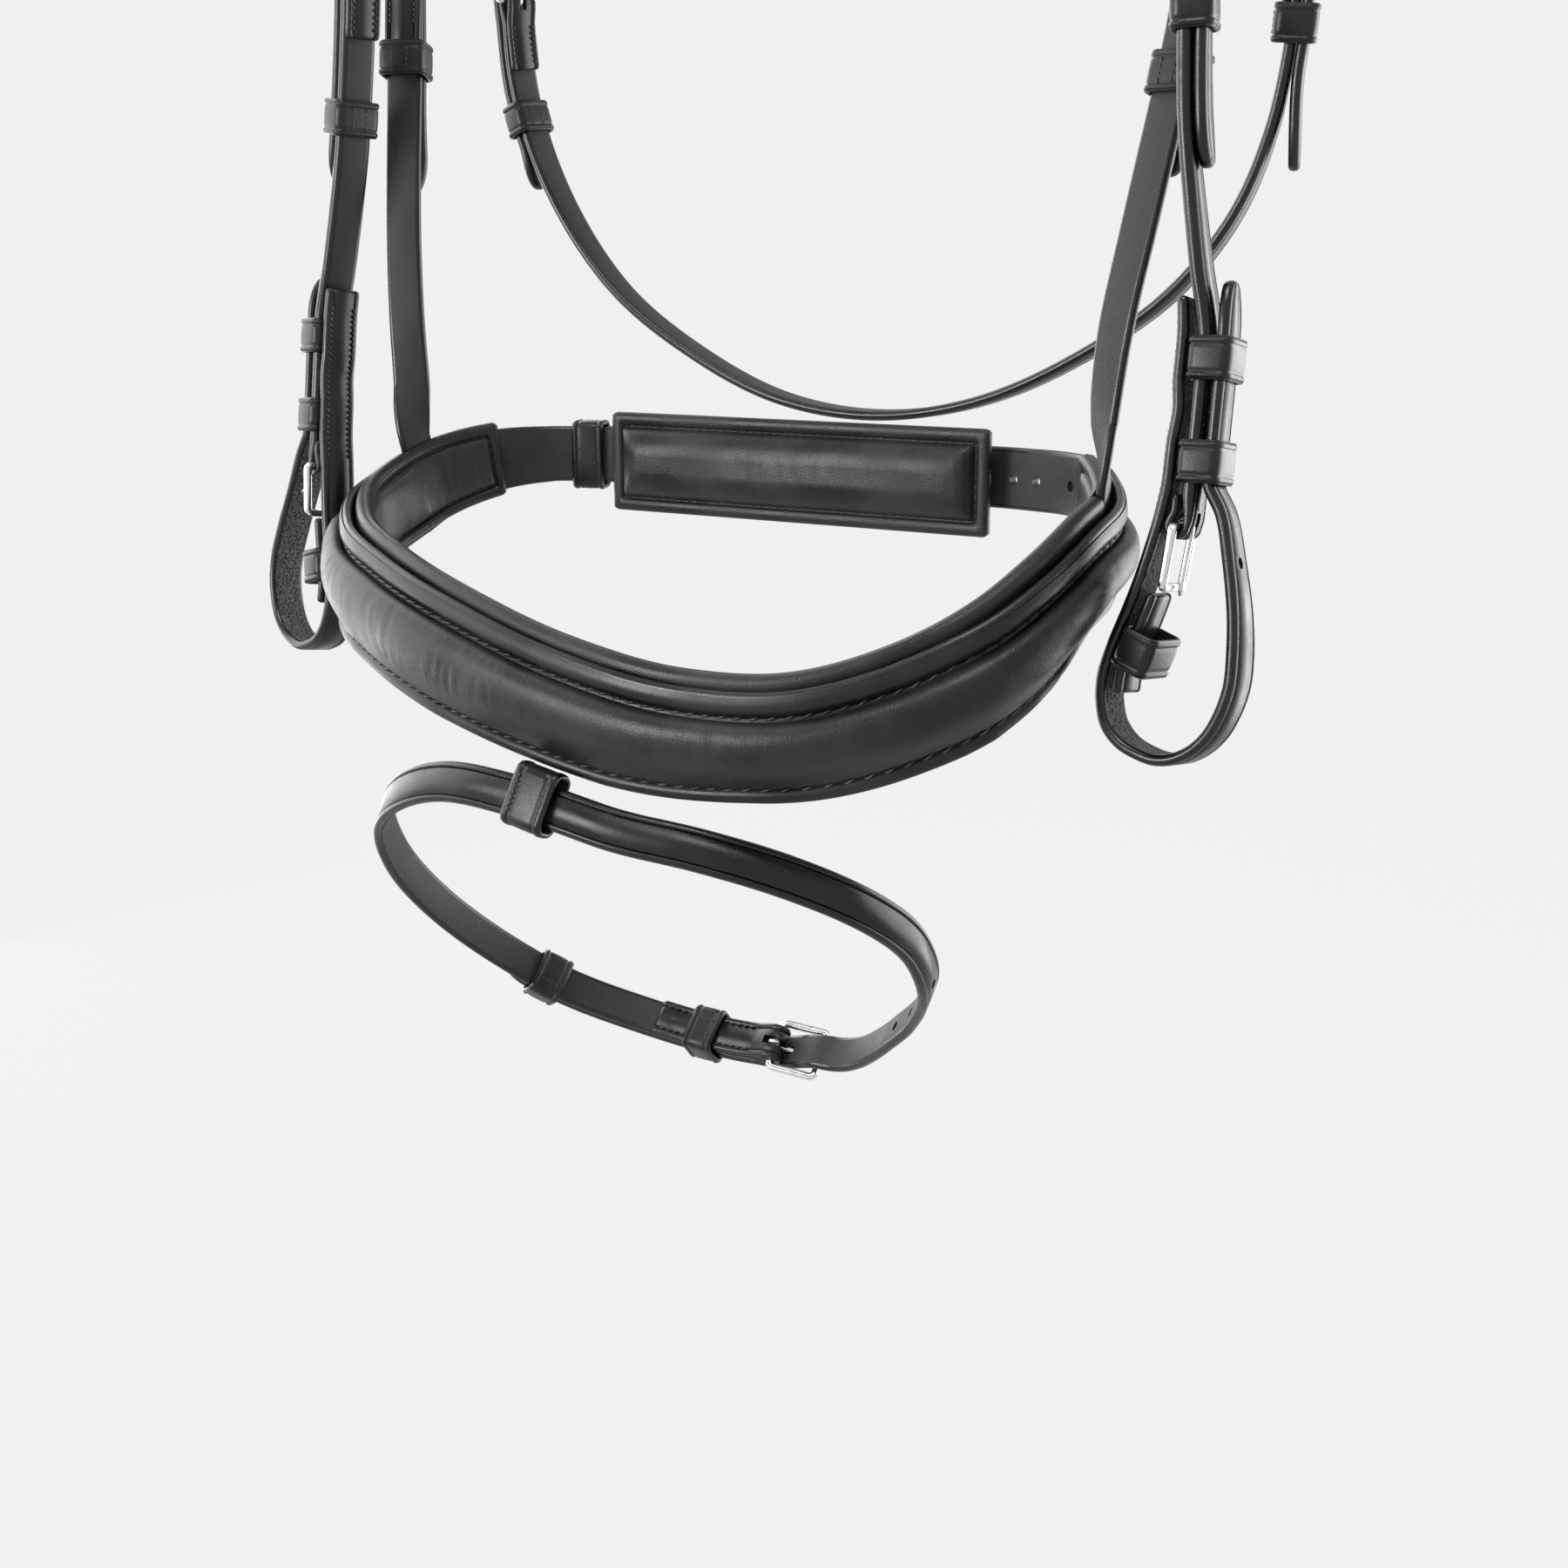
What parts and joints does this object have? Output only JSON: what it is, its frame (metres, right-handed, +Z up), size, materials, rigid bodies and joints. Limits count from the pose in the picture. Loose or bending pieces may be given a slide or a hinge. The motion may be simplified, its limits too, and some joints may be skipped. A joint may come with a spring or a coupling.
{
  "type": "horse bridle",
  "caption": "Leather snaffle bridle with padded crown and noseband, browband, throatlash, flash strap, buckled cheekpieces and open bit loops.",
  "frame": {"origin": "on the underside of the padded crown, where the bridle lies on the horse's poll", "axes": "+X to the horse's left cheek, -Y to its nose, +Z up"},
  "size_m": [0.378, 0.2276, 0.5598],
  "materials": {
    "black_leather": "satin, burnished edges",
    "soft_lining_leather": "soft satin",
    "stainless_steel": "polished"
  },
  "bodies": {
    "left_cheek_upper_tongue": {"left_cheek_upper_tongue": "stainless_steel"},
    "left_cheek_lower_tongue": {"left_cheek_lower_tongue": "stainless_steel"},
    "right_cheek_upper_tongue": {"right_cheek_upper_tongue": "stainless_steel"},
    "right_cheek_lower_tongue": {"right_cheek_lower_tongue": "stainless_steel"},
    "left_throatlash_tongue": {"left_throatlash_tongue": "stainless_steel"},
    "right_throatlash_tongue": {"right_throatlash_tongue": "stainless_steel"},
    "noseband_tongue": {"noseband_tongue": "stainless_steel"},
    "left_hanger_tongue": {"left_hanger_tongue": "stainless_steel"},
    "right_hanger_tongue": {"right_hanger_tongue": "stainless_steel"},
    "flash_tongue": {"flash_tongue": "stainless_steel"},
    "left_cheek_upper_keeper": {"left_cheek_upper_keeper": "black_leather"},
    "right_cheek_upper_keeper": {"right_cheek_upper_keeper": "black_leather"},
    "left_hanger_keeper": {"left_hanger_keeper": "black_leather"},
    "right_hanger_keeper": {"right_hanger_keeper": "black_leather"},
    "left_throatlash_keeper": {"left_throatlash_keeper": "black_leather"},
    "right_throatlash_keeper": {"right_throatlash_keeper": "black_leather"},
    "noseband_sliding_keeper": {"noseband_sliding_keeper": "black_leather"},
    "flash_sliding_keeper": {"flash_sliding_keeper": "black_leather"},
    "chin_pad": {"chin_pad": "soft_lining_leather", "left_chin_pad_loop": "black_leather", "right_chin_pad_loop": "black_leather"},
    "browband": {"browband": "black_leather"},
    "flash": {"flash_strap": "black_leather", "flash_loop": "black_leather", "flash_buckle": "stainless_steel", "flash_fixed_keeper": "black_leather"},
    "bridle": {"left_cheekpiece": "black_leather", "left_cheek_upper_buckle": "stainless_steel", "left_cheek_lower_buckle": "stainless_steel", "left_bit_loop": "black_leather", "left_cheek_keeper_1": "black_leather", "left_cheek_keeper_2": "black_leather", "left_cheek_guard": "black_leather", "left_cheek_keeper_3": "black_leather", "right_cheekpiece": "black_leather", "right_cheek_upper_buckle": "stainless_steel", "right_cheek_lower_buckle": "stainless_steel", "right_bit_loop": "black_leather", "right_cheek_keeper_1": "black_leather", "right_cheek_keeper_2": "black_leather", "right_cheek_guard": "black_leather", "right_cheek_keeper_3": "black_leather", "headpiece": "black_leather", "crown_pad": "soft_lining_leather", "throatlash": "black_leather", "left_throatlash_billet": "black_leather", "left_throatlash_buckle": "stainless_steel", "right_throatlash_billet": "black_leather", "right_throatlash_buckle": "stainless_steel", "noseband_strap": "black_leather", "noseband_buckle": "stainless_steel", "noseband_fixed_keeper": "black_leather", "noseband_lining": "soft_lining_leather", "noseband_roll": "soft_lining_leather", "left_noseband_hanger": "black_leather", "left_noseband_billet": "black_leather", "left_hanger_buckle": "stainless_steel", "right_noseband_hanger": "black_leather", "right_noseband_billet": "black_leather", "right_hanger_buckle": "stainless_steel"}
  },
  "joints": [
    {"name": "left_cheek_upper_tongue_swing", "type": "hinge", "parent": "bridle", "child": "left_cheek_upper_tongue", "pos_m": [0.15016, 0.00559, -0.1651], "axis": [-0.2702, 0.9627, -0.0124], "range_deg": [0, 3]},
    {"name": "left_cheek_lower_tongue_swing", "type": "hinge", "parent": "bridle", "child": "left_cheek_lower_tongue", "pos_m": [0.16307, -0.00134, -0.33629], "axis": [0.0149, -0.9902, 0.1386], "range_deg": [0, 31]},
    {"name": "right_cheek_upper_tongue_swing", "type": "hinge", "parent": "bridle", "child": "right_cheek_upper_tongue", "pos_m": [-0.13843, 0.00559, -0.16525], "axis": [-0.2674, -0.9631, 0.0306], "range_deg": [0, 3]},
    {"name": "right_cheek_lower_tongue_swing", "type": "hinge", "parent": "bridle", "child": "right_cheek_lower_tongue", "pos_m": [-0.16056, -0.00192, -0.33621], "axis": [0.2732, 0.9527, -0.1334], "range_deg": [0, 31]},
    {"name": "left_throatlash_tongue_swing", "type": "hinge", "parent": "bridle", "child": "left_throatlash_tongue", "pos_m": [0.14765, 0.11447, -0.16589], "axis": [-0.2636, 0.9586, 0.1075], "range_deg": [0, 3]},
    {"name": "right_throatlash_tongue_swing", "type": "hinge", "parent": "bridle", "child": "right_throatlash_tongue", "pos_m": [-0.15988, 0.11448, -0.16602], "axis": [-0.268, -0.9584, -0.0977], "range_deg": [0, 3]},
    {"name": "noseband_tongue_swing", "type": "hinge", "parent": "bridle", "child": "noseband_tongue", "pos_m": [0.01781, 0.0701, -0.33429], "axis": [0, 0, 1], "range_deg": [0, 3]},
    {"name": "left_hanger_tongue_swing", "type": "hinge", "parent": "bridle", "child": "left_hanger_tongue", "pos_m": [0.14554, 0.034, -0.16573], "axis": [-0.8684, 0.4955, -0.0198], "range_deg": [0, 3]},
    {"name": "right_hanger_tongue_swing", "type": "hinge", "parent": "bridle", "child": "right_hanger_tongue", "pos_m": [-0.14554, 0.034, -0.16573], "axis": [-0.8684, -0.4955, 0.0198], "range_deg": [0, 3]},
    {"name": "flash_tongue_swing", "type": "hinge", "parent": "flash", "child": "flash_tongue", "pos_m": [0.0112, 0.02788, -0.53449], "axis": [-0.0399, 0.7226, 0.6901], "range_deg": [0, 3]},
    {"name": "left_cheek_upper_keeper_slide", "type": "slide", "parent": "bridle", "child": "left_cheek_upper_keeper", "axis": [0.0515, 0, -0.9987], "range_m": [-0.0015, 0.005]},
    {"name": "right_cheek_upper_keeper_slide", "type": "slide", "parent": "bridle", "child": "right_cheek_upper_keeper", "axis": [-0.1494, 0, -0.9888], "range_m": [-0.005, 0.005]},
    {"name": "left_hanger_keeper_slide", "type": "slide", "parent": "bridle", "child": "left_hanger_keeper", "axis": [-0.1043, -0.2129, -0.9715], "range_m": [-0.004, 0.005]},
    {"name": "right_hanger_keeper_slide", "type": "slide", "parent": "bridle", "child": "right_hanger_keeper", "axis": [0.0714, -0.1608, -0.9844], "range_m": [-0.005, 0.005]},
    {"name": "left_throatlash_keeper_slide", "type": "slide", "parent": "bridle", "child": "left_throatlash_keeper", "axis": [-0.0938, 0.0748, -0.9928], "range_m": [-0.005, 0.005]},
    {"name": "right_throatlash_keeper_slide", "type": "slide", "parent": "bridle", "child": "right_throatlash_keeper", "axis": [0.3028, -0.0018, -0.953], "range_m": [-0.0014, 0.0016]},
    {"name": "noseband_sliding_keeper_slide", "type": "slide", "parent": "bridle", "child": "noseband_sliding_keeper", "axis": [-0.9378, -0.3472, 0.0055], "range_m": [-0.004, 0.0025]},
    {"name": "flash_sliding_keeper_slide", "type": "slide", "parent": "flash", "child": "flash_sliding_keeper", "axis": [-0.6536, -0.5441, 0.526], "range_m": [-0.002, 0.004]},
    {"name": "chin_pad_slide", "type": "slide", "parent": "bridle", "child": "chin_pad", "axis": [1, 0, 0], "range_m": [-0.006, 0.006]},
    {"name": "browband_slide", "type": "slide", "parent": "bridle", "child": "browband", "axis": [0, 0, 1], "range_m": [0, 0.004]},
    {"name": "flash_swing", "type": "hinge", "parent": "bridle", "child": "flash", "pos_m": [-0.00367, -0.07517, -0.40986], "axis": [1, 0, 0], "range_deg": [-17, 28]}
  ]
}
